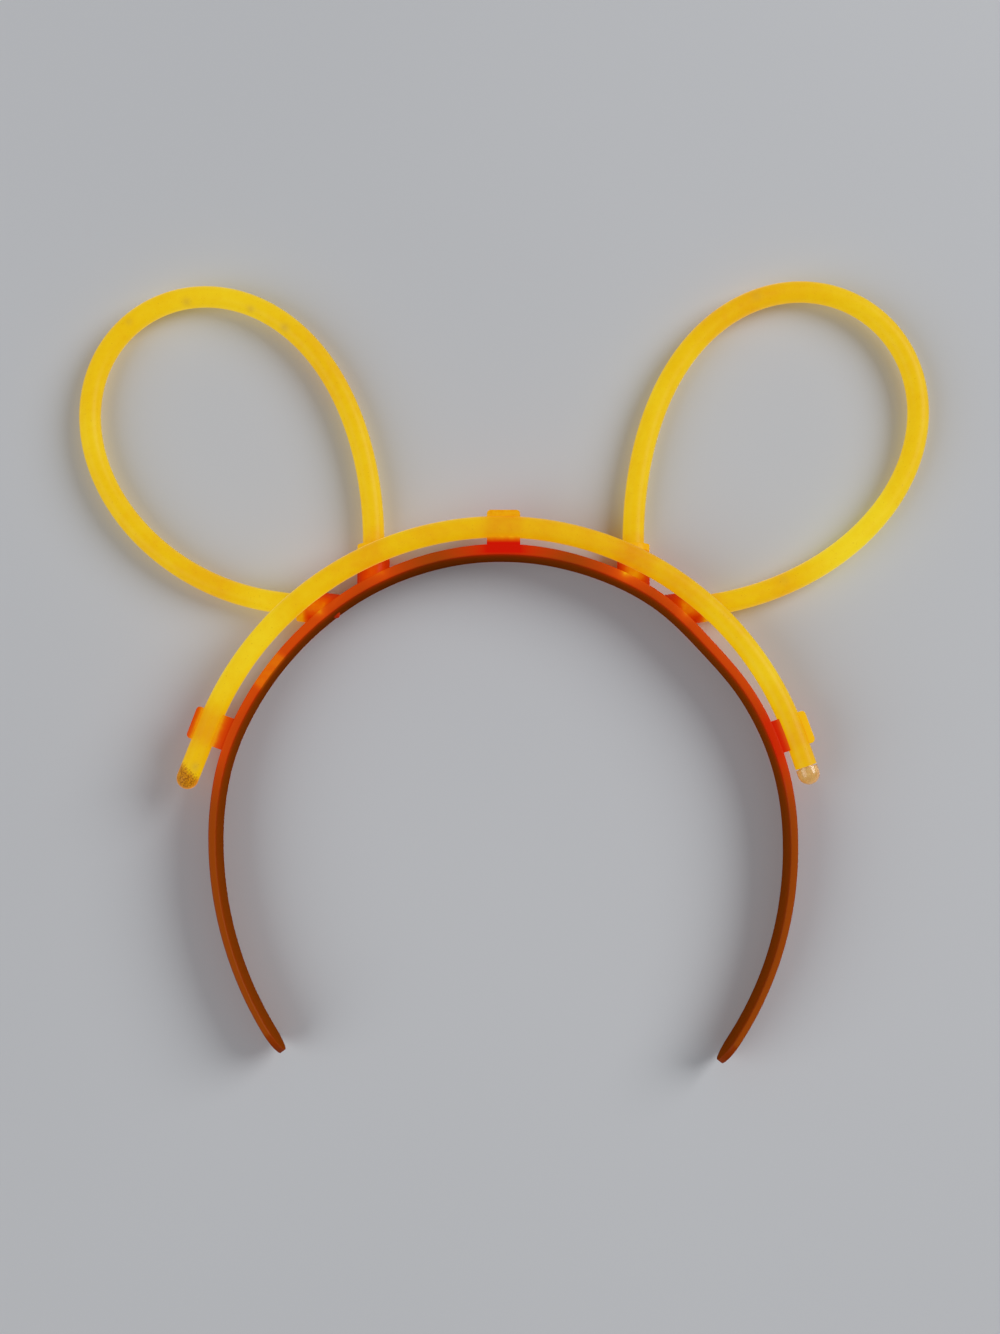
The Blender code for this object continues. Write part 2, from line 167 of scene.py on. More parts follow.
# The glow stops short of the closed end, on a slant; in the ears that is inside the sockets
GLOW_STOP = {"arch": 0.0045, "left": 0.0020, "right": 0.0015}
GLOW_SLANT = 0.0010
GLOW_FADE = (-0.0019, 0.0013)

# How far the sticks' light gets through the orange plastic before it fades to about a third
LIGHT_REACH = 0.0085

# Fineness of the shapes
STICK_SIDES = 36
STICK_STATIONS = 360
SHOULDER_STATIONS = 6
BORE_STATIONS = 60
CORE_SIDES = 16
CORE_STATIONS = 120
CHANNEL_STATIONS = 240
DOME_RINGS = 10
ROUND_SIDES = 48
RIM_STEPS = 3
CLIP_CORNER_STEPS = 5
ARC_STATIONS = 200
LEG_STATIONS = 60
TIP_STATIONS = 14
CORNER_STEPS = 4
ROD_STEPS = 400
ROD_WAVES = 5
ROD_ROUNDS = 40
ROD_FIRST_BOW = 0.25
LAST_STATION = 0.985

# Sizes that follow
STICK_RADIUS = STICK_DIAMETER / 2
TUBE_BORE_RADIUS = STICK_RADIUS - TUBE_WALL
CORE_RADIUS = TUBE_BORE_RADIUS - CLEARANCE
SOCKET_BORE_RADIUS = STICK_RADIUS + CLEARANCE
SOCKET_RADIUS = SOCKET_BORE_RADIUS + SOCKET_WALL
EAR_HEIGHT = SOCKET_LIFT + SOCKET_RADIUS
ARCH_HEIGHT = EAR_HEIGHT + SOCKET_RADIUS + CLEARANCE + STICK_RADIUS
ARCH_RADIUS = BAND_RADIUS + ARCH_STANDOFF
LEG_OFFSET = LEG_RADIUS - BAND_RADIUS

# Floor and lights: half the floor's width; each light's place, width and power
FLOOR_HALF = 4.0
LIGHTS = {
    "key_light": {"place": (1.1, 0.5, 0.9), "width": 1.0, "power": 13.0},
    "fill_light": {"place": (-1.2, -0.4, 1.0), "width": 1.4, "power": 9.0},
}

# Camera: where its foot stands from MIDDLE, how high it is, and how far it leans towards the ears
CAMERA_FOOT = (-0.00080, 0.00135)
CAMERA_HEIGHT = 0.43043
CAMERA_LEAN = 5.0
CAMERA_LENS = 50.0
CAMERA_SENSOR = 36.0


def polar(radius, degrees):
    angle = math.radians(degrees)
    return np.array([radius * math.cos(angle), radius * math.sin(angle)])


class Path:
    """A plane curve at one height, in the row frame, read by the distance along it."""

    def __init__(self, points, height):
        self.points = np.asarray(points) + MIDDLE
        self.height = height
        steps = np.hypot(*np.diff(self.points, axis=0).T)
        self.distances = np.concatenate([[0.0], np.cumsum(steps)])
        self.length = self.distances[-1]
        self.headings = np.gradient(self.points, self.distances, axis=0)

    def read(self, values, distance):
        return np.array([np.interp(distance, self.distances, values[:, k]) for k in range(2)])

    def place(self, distance):
        """Centre and sideways direction at a distance; ends run on straight."""
        inside = min(max(distance, 0.0), self.length)
        along = self.read(self.headings, inside)
        along = along / np.hypot(*along)
        x, y = self.read(self.points, inside) + along * (distance - inside)
        return Vector((x, y, self.height)), Vector((-along[1], along[0], 0.0))


def integral(values):
    return ((values[1:] + values[:-1]) / 2).sum(axis=0) / (len(values) - 1)


def springy_rod(start, heading, end, arrival, length, lasting):
    """Centre line of a springy rod of a given length, clamped at both ends, with two lasting bends."""
    share = np.linspace(0.0, 1.0, ROD_STEPS)
    orders = np.arange(1, ROD_WAVES + 1)
    waves = np.sin(np.pi * np.outer(share, orders))
    softness = 1.0 / orders ** 2
    kept = np.zeros(ROD_WAVES)
    kept[2], kept[3] = lasting
    turning = math.radians(heading) + math.radians(arrival - heading) * share
    size = kept + np.where(orders == 2, ROD_FIRST_BOW, 0.0)
    for _ in range(ROD_ROUNDS):
        angle = turning + waves @ size
        sine, cosine = np.sin(angle), np.cos(angle)
        reached = start + length * np.array([integral(cosine), integral(sine)])
        slopes = length * np.vstack([integral(-sine[:, None] * waves), integral(cosine[:, None] * waves)])
        wanted = (end - reached) + slopes @ (size - kept)
        size = kept + softness * (slopes.T @ np.linalg.solve((slopes * softness) @ slopes.T, wanted))
    angle = turning + waves @ size
    heading_steps = np.column_stack([np.cos(angle), np.sin(angle)])
    steps = (heading_steps[1:] + heading_steps[:-1]) / 2 * length / (ROD_STEPS - 1)
    return np.vstack([start, start + np.cumsum(steps, axis=0)])


def arch_path():
    """The arch stick's centre line: a circular arc with straight ends."""
    half = ARCH_STICK_LENGTH / 2
    points = []
    for distance in np.linspace(-half, half, ROD_STEPS):
        bent = min(max(distance, FREE_ENDS["right"] - half), half - FREE_ENDS["left"])
        angle = 90.0 + ARCH_TURN + math.degrees(bent / ARCH_RADIUS)
        points.append(polar(ARCH_RADIUS, angle) + polar(distance - bent, angle + 90.0) + ARCH_SHIFT)
    return Path(points, ARCH_HEIGHT)


def arch_reach(degrees):
    """Distance from the band's middle to the arch stick's centre line, in one direction."""
    along = float(polar(1.0, degrees) @ ARCH_SHIFT)
    return along + math.sqrt(along ** 2 - float(ARCH_SHIFT @ ARCH_SHIFT) + ARCH_RADIUS ** 2)


def socket_line(socket):
    base = polar(BAND_RADIUS, socket["band_angle"])
    axis = polar(1.0, socket["axis_angle"])
    return base, axis, base + axis * socket["reach"]


def ear_path(ear):
    """One ear's stick: straight in each socket, and a springy loop between them."""
    _, inner_axis, inner_rim = socket_line(SOCKETS["inner"])
    _, outer_axis, outer_rim = socket_line(SOCKETS["outer"])
    inner_foot = inner_rim - inner_axis * ear["tucked"]
    outer_foot = outer_rim - outer_axis * ear["tucked"]
    loop_end = outer_rim + outer_axis * ear["straight"]
    length = EAR_STICK_LENGTH - 2 * ear["tucked"] - ear["straight"]
    heading = SOCKETS["inner"]["axis_angle"]
    arrival = SOCKETS["outer"]["axis_angle"] - 180.0
    lasting = (ear["third_wave"], ear["fourth_wave"])
    loop = springy_rod(inner_rim, heading, loop_end, arrival, length, lasting)
    points = np.vstack([outer_foot, loop[::-1], inner_foot])
    return Path(points * (ear["side"], 1.0), EAR_HEIGHT)


def add_object(name, build, finishes, smooth_angle=40.0):
    """Makes a mesh object from a bmesh, with its faces pointing out."""
    bmesh.ops.recalc_face_normals(build, faces=build.faces)
    mesh = bpy.data.meshes.new(name)
    build.to_mesh(mesh)
    build.free()
    mesh.shade_smooth()
    mesh.set_sharp_from_angle(angle=math.radians(smooth_angle))
    made = bpy.data.objects.new(name, mesh)
    bpy.context.scene.collection.objects.link(made)
    for finish in finishes:
        mesh.materials.append(finish)
    return made


def round_along(path, profile, sides, notes=None, finish_of=None):
    """A round solid along a path from (distance, radius) pairs that start and end on the axis.

    notes names numbers kept on the points, each a function of the distance and the turn round the axis.
    finish_of gives the material's index.
    """
    build = bmesh.new()
    layers = {name: build.verts.layers.float.new(name) for name in notes or ()}
    turns = [2 * math.pi * (i + 0.5) / sides for i in range(sides)]
    up = Vector((0.0, 0.0, 1.0))
    rings = []
    for distance, radius in profile:
        centre, across = path.place(distance)
        ring = []
        for turn in turns if radius else turns[:1]:
            point = centre + (across * math.cos(turn) + up * math.sin(turn)) * radius
            ring.append(build.verts.new(point))
            for name, layer in layers.items():
                ring[-1][layer] = notes[name](distance, turn)
        rings.append(ring if radius else ring * sides)
    for k in range(len(rings) - 1):
        ring, following = rings[k], rings[k + 1]
        for i in range(sides):
            j = (i + 1) % sides
            corners = dict.fromkeys([ring[i], ring[j], following[j], following[i]])
            face = build.faces.new(corners)
            if finish_of:
                face.material_index = finish_of(profile[k], profile[k + 1])
    return build


def dome(tip, shoulder, radius):
    """(distance, radius) pairs of a rounded end, from its tip to its shoulder."""
    depth = shoulder - tip
    angles = [math.pi / 2 * i / DOME_RINGS for i in range(DOME_RINGS + 1)]
    pairs = [(shoulder - depth * math.cos(a), radius * math.sin(a)) for a in angles]
    return [(tip, 0.0)] + pairs[1:]


def stations(start, end, count=STICK_STATIONS):
    return np.linspace(start, end, count)


def links(tree, *pairs):
    for source, target in pairs:
        tree.links.new(source, target)


def new_material(name):
    made = bpy.data.materials.new(name)
    made.use_nodes = True
    tree = made.node_tree
    return made, tree, tree.nodes["Principled BSDF"]


def math_node(tree, operation, first, second=None):
    """A Math node whose inputs are sockets or plain numbers."""
    node = tree.nodes.new("ShaderNodeMath")
    node.operation = operation
    for slot, value in zip(node.inputs, (first, second)):
        if value is None:
            continue
        if isinstance(value, (int, float)):
            slot.default_value = value
        else:
            tree.links.new(value, slot)
    return node.outputs[0]


def vector_node(tree, operation, vector, value=None):
    node = tree.nodes.new("ShaderNodeVectorMath")
    node.operation = operation
    tree.links.new(vector, node.inputs[0])
    if value:
        node.inputs[1].default_value = value
    return node


def noise(tree, scale, detail, roughness=0.5):
    place = tree.nodes.new("ShaderNodeTexCoord")
    node = tree.nodes.new("ShaderNodeTexNoise")
    node.inputs["Scale"].default_value = scale
    node.inputs["Detail"].default_value = detail
    node.inputs["Roughness"].default_value = roughness
    tree.links.new(place.outputs["Object"], node.inputs["Vector"])
    return node.outputs["Fac"]


def uneven(tree, scale, detail, amount):
    """Noise that swings about zero."""
    return math_node(tree, "MULTIPLY", math_node(tree, "SUBTRACT", noise(tree, scale, detail), 0.5), amount)


def attribute(tree, name):
    node = tree.nodes.new("ShaderNodeAttribute")
    node.attribute_name = name
    return node.outputs["Fac"]


def mix(tree, factor, first, second):
    """Mixes two colours, each a socket or a linear colour."""
    node = tree.nodes.new("ShaderNodeMix")
    node.data_type = "RGBA"
    node.clamp_factor = True
    tree.links.new(factor, node.inputs["Factor"])
    for slot, colour in ((node.inputs[6], first), (node.inputs[7], second)):
        if isinstance(colour, tuple):
            slot.default_value = (*colour, 1.0)
        else:
            tree.links.new(colour, slot)
    return node.outputs[2]


def ramp(tree, factor, stops):
    """A colour ramp from (place, linear colour) pairs."""
    node = tree.nodes.new("ShaderNodeValToRGB")
    tree.links.new(factor, node.inputs["Fac"])
    band = node.color_ramp
    while len(band.elements) < len(stops):
        band.elements.new(0.5)
    for element, (place, colour) in zip(band.elements, stops):
        element.position = place
        element.color = (*colour, 1.0)
    return node.outputs["Color"]


def bump(tree, shader, height, strength, distance):
    node = tree.nodes.new("ShaderNodeBump")
    node.inputs["Strength"].default_value = strength
    node.inputs["Distance"].default_value = distance
    tree.links.new(height, node.inputs["Height"])
    tree.links.new(node.outputs["Normal"], shader.inputs["Normal"])


def stick_skin():
    """Milky plastic over glowing liquid: amber where orange lies behind it, lemon where it glows most.

    Past the liquid, the closed end has a painted dim glow, dark mustard with specks, and is painted lighter
    peach at its sides.
    """
    made, tree, shader = new_material("stick_skin")
    tone = math_node(tree, "ADD", attribute(tree, "tone"), uneven(tree, 650.0, 3.0, 0.25))
    tone = math_node(tree, "ADD", tone, uneven(tree, 110.0, 2.0, 0.5))
    lit = ramp(tree, tone, (
        (0.0, (0.61, 0.235, 0.001)),
        (0.5, (0.66, 0.415, 0.001)),
        (1.0, (0.71, 0.555, 0.012)),
    ))
    lit = mix(tree, attribute(tree, "scuff"), lit, (0.42, 0.27, 0.03))
    specks = ramp(tree, noise(tree, 3200.0, 2.0), (
        (0.36, (0.16, 0.045, 0.0)),
        (0.64, (0.52, 0.205, 0.0)),
    ))
    # Painted light: the closed end is lit peach at its sides and left darker on top.
    sides = ramp(tree, attribute(tree, "side"), ((0.35, (0.0, 0.0, 0.0)), (0.80, (1.0, 1.0, 1.0))))
    specks = mix(tree, sides, specks, (0.60, 0.205, 0.012))
    filled = math_node(tree, "ADD", attribute(tree, "liquid"), uneven(tree, 2300.0, 3.0, 1.5))
    filled = ramp(tree, filled, ((0.2, (0.0, 0.0, 0.0)), (0.8, (1.0, 1.0, 1.0))))
    glow = mix(tree, filled, specks, lit)
    body = mix(tree, filled, (0.16, 0.062, 0.004), (0.19, 0.10, 0.002))
    links(tree, (glow, shader.inputs["Emission Color"]), (body, shader.inputs["Base Color"]))
    shader.inputs["Emission Strength"].default_value = 1.0
    shader.inputs["Roughness"].default_value = 0.42
    shader.inputs["IOR"].default_value = 1.5
    shader.inputs["Specular IOR Level"].default_value = 0.14
    shader.inputs["Sheen Weight"].default_value = 1.0
    shader.inputs["Sheen Roughness"].default_value = 0.3
    shader.inputs["Sheen Tint"].default_value = (1.0, 0.72, 0.30, 1.0)
    bump(tree, shader, noise(tree, 900.0, 2.0), 0.15, 0.0002)
    return made


def tube_inside():
    made, tree, shader = new_material("tube_inside")
    colour = ramp(tree, noise(tree, 200.0, 2.0), ((0.3, (0.42, 0.22, 0.02)), (0.7, (0.55, 0.32, 0.04))))
    links(tree, (colour, shader.inputs["Base Color"]))
    shader.inputs["Roughness"].default_value = 0.4
    return made


def liquid():
    """The glowing liquid, which shows only through the clear ends."""
    made, tree, shader = new_material("glow_liquid")
    shader.inputs["Base Color"].default_value = (0.2, 0.1, 0.01, 1.0)
    glow = ramp(tree, noise(tree, 300.0, 2.0), ((0.3, (0.75, 0.42, 0.01)), (0.7, (0.85, 0.55, 0.02))))
    links(tree, (glow, shader.inputs["Emission Color"]))
    shader.inputs["Emission Strength"].default_value = 1.0
    made.cycles.emission_sampling = "NONE"
    return made


def clear_plastic():
    made, tree, shader = new_material("clear_plug")
    tint = ramp(tree, noise(tree, 1100.0, 2.0), ((0.3, (0.84, 0.54, 0.16)), (0.7, (0.95, 0.73, 0.30))))
    links(tree, (tint, shader.inputs["Base Color"]))
    shader.inputs["Roughness"].default_value = 0.22
    shader.inputs["IOR"].default_value = 1.45
    shader.inputs["Transmission Weight"].default_value = 0.75
    shader.inputs["Coat Weight"].default_value = 0.9
    shader.inputs["Coat Roughness"].default_value = 0.16
    # Painted glow: a faint warm emission stands in for the liquid's light scattered in the clear plug.
    shader.inputs["Emission Color"].default_value = (0.8, 0.44, 0.08, 1.0)
    shader.inputs["Emission Strength"].default_value = 0.13
    bump(tree, shader, noise(tree, 1800.0, 2.0), 0.1, 0.0002)
    return made


def glow_entry_spots():
    """Where the sticks' light enters the moulding, for its painted glow: middle, height, turn about Z, half
    sizes and strength.
    """
    spots = []
    for name, degrees in CLIP_ANGLES.items():
        glow = CLIP_GLOW[name]
        middle = polar(arch_reach(degrees) + glow["lean"], degrees)
        half = (glow["half_width"], CLIP_LENGTH / 2, STICK_RADIUS)
        spots.append((middle, ARCH_HEIGHT, degrees, half, glow["light"]))
    for glance in GLANCES:
        middle = polar(BAND_RADIUS, glance["angle"])
        half = (GLANCE_DEPTH, glance["half_length"], GLANCE_DEPTH)
        spots.append((middle, BAND_WIDTH, glance["angle"], half, glance["light"]))
    for ear_name, ear in EARS.items():
        mirror = (ear["side"], 1.0)
        for socket_name, socket in SOCKETS.items():
            glow = SOCKET_GLOW[ear_name][socket_name]
            base, axis, rim = socket_line(socket)
            turn = socket["axis_angle"] if ear["side"] > 0 else 180.0 - socket["axis_angle"]
            half = (RIM_GLOW_DEPTH, SOCKET_RADIUS, SOCKET_RADIUS)
            spots.append((rim * mirror, EAR_HEIGHT, turn, half, glow["rim"]))
            over = (base + rim) / 2
            crossing = over * arch_reach(socket["band_angle"]) / np.hypot(*over) * mirror
            half = (SOCKET_RADIUS, STICK_RADIUS, STICK_RADIUS)
            spots.append((crossing, ARCH_HEIGHT, turn, half, glow["crossing"]))
    return spots


def deep_red_spots():
    half = (TOP_THICKNESS / 2 / DEEP_RED_SQUEEZE, CLIP_LENGTH / 2, CLIP_LENGTH / 2)
    spots = []
    for red in DEEP_RED:
        middle = polar(BAND_RADIUS - TOP_THICKNESS / 2, red["angle"])
        spots.append((middle, ARCH_HEIGHT, red["angle"], half, red["strength"]))
    return spots


def light_reach(tree, spots, reach, squeeze=1.0):
    """How much of the light from the spots is left after its way through the plastic, from 0 to 1.

    squeeze shortens the reach along each spot's own first direction; its half size there is divided by it.
    """
    place = tree.nodes.new("ShaderNodeTexCoord")
    left = None
    for (x, y), z, turn, half, strength in spots:
        seen = tree.nodes.new("ShaderNodeMapping")
        seen.vector_type = "TEXTURE"
        seen.inputs["Location"].default_value = (x + MIDDLE[0], y + MIDDLE[1], z)
        seen.inputs["Rotation"].default_value = (0.0, 0.0, math.radians(turn))
        seen.inputs["Scale"].default_value = (squeeze, 1.0, 1.0)
        tree.links.new(place.outputs["Object"], seen.inputs["Vector"])
        vector = seen.outputs["Vector"]
        for operation, value in (("ABSOLUTE", None), ("SUBTRACT", half), ("MAXIMUM", (0.0, 0.0, 0.0))):
            vector = vector_node(tree, operation, vector, value).outputs["Vector"]
        away = vector_node(tree, "LENGTH", vector).outputs["Value"]
        faded = math_node(tree, "EXPONENT", math_node(tree, "MULTIPLY", away, -1 / reach))
        here = math_node(tree, "MULTIPLY", faded, strength)
        left = here if left is None else math_node(tree, "MAXIMUM", left, here)
    return left


def orange_plastic(name, top_highlight=0.0):
    """Translucent orange with painted glow standing in for the sticks' light piped through it: amber at the
    sticks, then red-orange, then brown. The body colour turns more orange near the sticks as part of the
    same painted light.

    Returns the material's parts and the colours of its glow and its body. top_highlight paints a highlight
    on the band's top.
    """
    made, tree, shader = new_material(name)
    # Painted light: the sticks' light in the plastic is painted as emission, and the body colour shifts with
    # it.
    light = light_reach(tree, glow_entry_spots(), LIGHT_REACH)
    piped_glow = math_node(tree, "ADD", light, math_node(tree, "MULTIPLY", uneven(tree, 900.0, 3.0, 0.07), light))
    glow = ramp(tree, piped_glow, (
        (0.0, (0.0, 0.0, 0.0)),
        (0.19, (0.04, 0.001, 0.0)),
        (0.37, (0.14, 0.003, 0.0)),
        (0.51, (0.20, 0.005, 0.0)),
        (0.69, (0.30, 0.012, 0.0)),
        (0.80, (0.38, 0.025, 0.0)),
        (0.86, (0.43, 0.055, 0.0)),
        (0.91, (0.48, 0.125, 0.0)),
        (0.96, (0.53, 0.245, 0.001)),
        (1.0, (0.60, 0.380, 0.005)),
    ))
    body = ramp(tree, piped_glow, (
        (0.0, (0.34, 0.045, 0.001)),
        (0.40, (0.34, 0.036, 0.001)),
        (0.72, (0.33, 0.030, 0.001)),
        (0.88, (0.34, 0.046, 0.001)),
        (1.0, (0.36, 0.110, 0.002)),
    ))
    # Painted highlight: the band's top face is mixed towards a lighter orange.
    if top_highlight:
        lifted = math_node(tree, "MULTIPLY", attribute(tree, "edge"), top_highlight)
        body = mix(tree, lifted, body, (0.45, 0.11, 0.006))
    deep = light_reach(tree, deep_red_spots(), DEEP_RED_REACH, DEEP_RED_SQUEEZE)
    glow = mix(tree, deep, glow, (0.38, 0.002, 0.0))
    body = mix(tree, deep, body, (0.29, 0.008, 0.001))
    return made, tree, shader, glow, body


def orange_moulding():
    """The glossy outside of the moulding, with a highlight painted on the band's top."""
    made, tree, shader, glow, body = orange_plastic("orange_moulding", top_highlight=0.4)
    rough = math_node(tree, "ADD", uneven(tree, 60.0, 3.0, 0.1), 0.5)
    links(
        tree,
        (glow, shader.inputs["Emission Color"]),
        (body, shader.inputs["Base Color"]),
        (rough, shader.inputs["Roughness"]),
    )
    shader.inputs["Emission Strength"].default_value = 1.0
    shader.inputs["IOR"].default_value = 1.48
    shader.inputs["Specular IOR Level"].default_value = 0.0
    shader.inputs["Coat Weight"].default_value = 0.12
    shader.inputs["Coat Roughness"].default_value = 0.3
    bump(tree, shader, noise(tree, 500.0, 3.0), 0.08, 0.0002)
    return made


def dull_inside():
    """The band's inner face: dull, with painted shade below its top, where the painted glow fades out and
    the body is darkened to brown.
    """
    made, tree, shader, glow, body = orange_plastic("orange_inner_face")
    painted_shade = ramp(tree, attribute(tree, "depth"), (
        (0.0, (0.25, 0.25, 0.25)),
        (0.08, (0.55, 0.55, 0.55)),
        (0.30, (0.88, 0.88, 0.88)),
        (0.60, (1.0, 1.0, 1.0)),
    ))
    # Painted shade: below the top the glow is taken out and the body is darkened to brown.
    glow = mix(tree, painted_shade, glow, (0.0, 0.0, 0.0))
    body = mix(tree, painted_shade, body, (0.26, 0.048, 0.002))
    rough = math_node(tree, "ADD", uneven(tree, 60.0, 3.0, 0.1), 0.8)
    links(
        tree,
        (glow, shader.inputs["Emission Color"]),
        (body, shader.inputs["Base Color"]),
        (rough, shader.inputs["Roughness"]),
    )
    shader.inputs["Emission Strength"].default_value = 1.0
    shader.inputs["Specular IOR Level"].default_value = 0.0
    bump(tree, shader, noise(tree, 500.0, 3.0), 0.08, 0.0002)
    return made


def soft_step(value, start, end):
    share = min(max((value - start) / (end - start), 0.0), 1.0)
    return share * share * (3 - 2 * share)


def tint_windows(name, path):
    """Where orange plastic lies behind a stick: distance along it, half length, tint and softness."""
    if name != "arch":
        foot = EARS[name]["tucked"] + SOCKET_RADIUS / 2
        return [(end, foot, FOOT_TINT, SOCKET_TINT_SOFTNESS) for end in (0.0, path.length)]
    windows = []
    for clip, degrees in CLIP_ANGLES.items():
        glow = CLIP_GLOW[clip]
        place = nearest(path, polar(arch_reach(degrees), degrees))
        windows.append((place, CLIP_LENGTH / 2, glow["tint"], glow["softness"]))
    base, _, rim = socket_line(SOCKETS["inner"])
    for side, tint in SOCKET_TINT.items():
        place = nearest(path, (base + rim) / 2 * (EARS[side]["side"], 1.0))
        windows.append((place, SOCKET_RADIUS, tint, SOCKET_TINT_SOFTNESS))
    return windows


def nearest(path, point):
    away = np.hypot(*(path.points - MIDDLE - point).T)
    return path.distances[int(away.argmin())]


def stick_notes(name, path):
    """Numbers for the skin's points, each a function of the distance and the turn round the axis.

    tone is how lemon it glows, liquid whether the liquid lies behind it, scuff its marks, and side how far
    it faces away from straight up, which sets where the closed end is painted lighter.
    """
    places, tones = zip(*GLOW[name])
    windows = tint_windows(name, path)
    stop = path.length - GLOW_STOP[name]

    def tone(distance, turn):
        value = np.interp(distance, places, tones)
        for middle, half, tint, softness in windows:
            value -= tint * (1 - soft_step(abs(distance - middle) - half, -softness, softness))
        return value

    def liquid_behind(distance, turn):
        return soft_step(stop + GLOW_SLANT * math.cos(turn) - distance, *GLOW_FADE)

    def scuff(distance, turn):
        total = 0.0
        for place, degrees, size, strength in MARKS[name]:
            round_by = STICK_RADIUS * math.remainder(turn - math.radians(degrees), 2 * math.pi)
            total += strength * math.exp(-((distance - place) ** 2 + round_by ** 2) / size ** 2)
        return total

    def side(distance, turn):
        from_tip = min(max(path.length - distance, 0.0) / STICK_RADIUS, 1.0)
        wide = math.sqrt(from_tip * (2 - from_tip))
        return 1 - max(wide * math.sin(turn), 0.0)

    return {"tone": tone, "liquid": liquid_behind, "scuff": scuff, "side": side}


def make_stick(name, node, path, notes, finishes):
    """The skin, the liquid and the plug of one stick."""
    mouth = PLUG_LENGTH + CLEARANCE
    bottom = path.length - CLOSED_END
    shoulder = path.length - STICK_RADIUS
    outer = [(s, STICK_RADIUS) for s in stations(mouth, bottom)]
    outer += [(s, STICK_RADIUS) for s in stations(bottom, shoulder, SHOULDER_STATIONS)[1:]]
    bore = [(s, TUBE_BORE_RADIUS) for s in stations(mouth, bottom, BORE_STATIONS)]
    profile = dome(path.length, shoulder, STICK_RADIUS) + outer[-2::-1] + bore + [(bottom, 0.0)]

    def finish_of(first, second):
        in_bore = first[0] < bottom + 1e-6 and second[1] < STICK_RADIUS - 1e-6
        return 1 if in_bore else 0

    skin = add_object(
        name + "_skin",
        round_along(path, profile, STICK_SIDES, notes, finish_of),
        [finishes["skin"], finishes["inside"]],
    )
    spigot_end = mouth + SPIGOT_LENGTH
    plug_profile = dome(0.0, STICK_RADIUS, STICK_RADIUS) + [(PLUG_LENGTH, STICK_RADIUS)]
    plug_profile += [(PLUG_LENGTH, CORE_RADIUS), (spigot_end, CORE_RADIUS), (spigot_end, 0.0)]
    plug = add_object(name + "_plug", round_along(path, plug_profile, STICK_SIDES), [finishes["plug"]])
    start = spigot_end + CLEARANCE
    end = bottom - CLEARANCE
    sides = [(s, CORE_RADIUS) for s in stations(start, end, CORE_STATIONS)]
    core_profile = [(start, 0.0), *sides, (end, 0.0)]
    core = add_object(name + "_liquid", round_along(path, core_profile, CORE_SIDES), [finishes["liquid"]])
    for piece, cad_node, slot in (
        (skin, node + "_tube", "stick_tube"),
        (plug, node + "_end_plug", "clear_plug"),
        (core, node + "_glow_core", "glow_liquid"),
    ):
        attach(piece, "root")
        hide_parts(cad_node)


def flex(distance):
    """How far the band lies inside its moulded curve there: a smooth curve through the table's rows."""
    places, shifts = np.array(BAND_FLEX).T
    slopes = np.gradient(shifts, places)
    i = int(np.clip(np.searchsorted(places, distance) - 1, 0, len(places) - 2))
    span = places[i + 1] - places[i]
    t = (distance - places[i]) / span
    eased = shifts[i] + (shifts[i + 1] - shifts[i]) * t * t * (3 - 2 * t)
    return eased + span * t * (1 - t) * (slopes[i] * (1 - t) - slopes[i + 1] * t)


def band_outline():
    """Stations along the band's outer face: point, outward direction, share of the way, way left to the tip.

    They run from the right tip to the left one.
    """
    rows = []
    for side, name in ((1, "right"), (-1, "left")):
        arc_length = BAND_RADIUS * math.pi / 2
        whole = arc_length + LEG_RADIUS * math.radians(LEG_SWEEP[name])
        round_end = TIP_WIDTH / 2
        arc = np.linspace(0.0, arc_length, ARC_STATIONS // 2, endpoint=False)
        leg = np.linspace(arc_length, whole - round_end, LEG_STATIONS, endpoint=False)
        tip = whole - round_end * (1 - np.sin(np.linspace(0.0, LAST_STATION, TIP_STATIONS) * math.pi / 2))
        half = []
        for distance in np.concatenate([arc, leg, tip]):
            if distance <= arc_length:
                outward = polar(1.0, 90.0 - math.degrees(distance / BAND_RADIUS))
                point = outward * BAND_RADIUS
            else:
                outward = polar(1.0, -math.degrees((distance - arc_length) / LEG_RADIUS))
                point = outward * LEG_RADIUS - (LEG_OFFSET, 0.0)
            point = point - outward * flex(side * distance)
            half.append((point * (side, 1), outward * (side, 1), distance / whole, whole - distance))
        rows.append(half)
    right, left = rows
    return right[::-1] + left[1:]


def band_sizes(share):
    """The band's thickness and width at a share of the way to its tip."""
    thickness = TOP_THICKNESS + (TIP_THICKNESS - TOP_THICKNESS) * share
    width = BAND_WIDTH + (TIP_WIDTH - BAND_WIDTH) * share
    return thickness, width


def band_section(point, outward, share, to_tip):
    """Points round the band's cross-section at one station, from its outer face over the top."""
    thickness, width = band_sizes(share)
    round_end = TIP_WIDTH / 2
    half = width / 2
    if to_tip < round_end:
        half *= math.sqrt(max(1.0 - (1.0 - to_tip / round_end) ** 2, 0.0))
    corner = min(EDGE_ROUND, thickness / 4, half / 2)
    corners = []
    for middle_depth, middle_rise, start in (
        (corner, half - corner, 180.0), (thickness - corner, half - corner, 90.0),
        (thickness - corner, corner - half, 0.0), (corner, corner - half, -90.0),
    ):
        for step in range(CORNER_STEPS):
            across, rise = polar(corner, start - 90.0 * step / (CORNER_STEPS - 1))
            x, y = point - outward * (middle_depth + across)
            corners.append(Vector((x + MIDDLE[0], y + MIDDLE[1], width / 2 + middle_rise + rise)))
    return corners


def band_solid():
    """The band alone; its inner face has the second material."""
    build = bmesh.new()
    rings = [[build.verts.new(place) for place in band_section(*row)] for row in band_outline()]
    inner_face = 2 * CORNER_STEPS - 1
    for ring, following in zip(rings, rings[1:]):
        for i in range(len(ring)):
            j = (i + 1) % len(ring)
            face = build.faces.new([ring[i], ring[j], following[j], following[i]])
            face.material_index = int(i == inner_face)
    build.faces.new(rings[0])
    build.faces.new(rings[-1][::-1])
    return build


